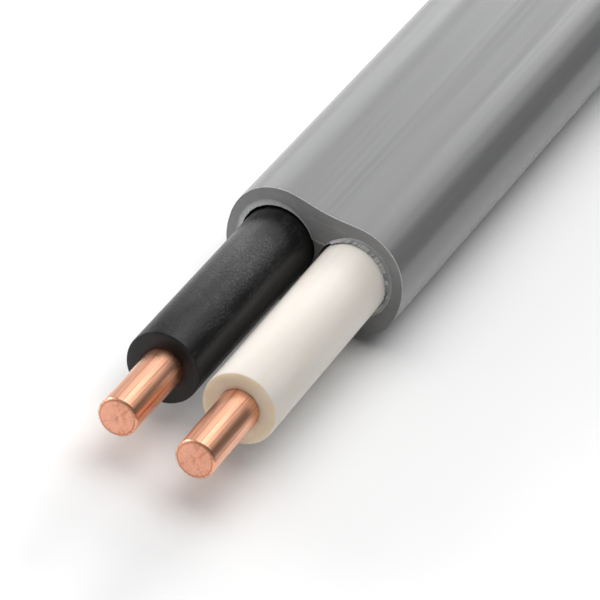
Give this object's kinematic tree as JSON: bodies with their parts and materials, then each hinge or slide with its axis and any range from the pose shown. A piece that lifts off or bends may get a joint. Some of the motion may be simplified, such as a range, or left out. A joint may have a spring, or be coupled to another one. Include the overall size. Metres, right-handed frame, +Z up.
{
  "type": "coil of flat two-conductor building cable",
  "caption": "Round coil of flat grey-sheathed building cable whose free end is stripped to show a black and a white insulated solid copper conductor.",
  "frame": {"origin": "centre of the object's box, on the floor that the coil lies on", "axes": "+Y runs from the stripped end towards the coil, +Z up along the coil's axis"},
  "size_m": [0.1992, 0.3068, 0.0323],
  "materials": {
    "sheath": "satin extruded grey PVC",
    "black_insulation": "satin black PVC with fine lengthwise lines",
    "white_insulation": "satin ivory PVC",
    "copper": "bright drawn copper",
    "tie": "moulded black nylon"
  },
  "bodies": {
    "root": {"sheath_coil": "sheath", "sheath_free_end": "sheath", "black_insulation": "black_insulation", "white_insulation": "white_insulation", "copper_in_black": "copper", "copper_in_white": "copper", "coil_tie_1": "tie", "coil_tie_2": "tie", "coil_tie_3": "tie"}
  },
  "joints": []
}
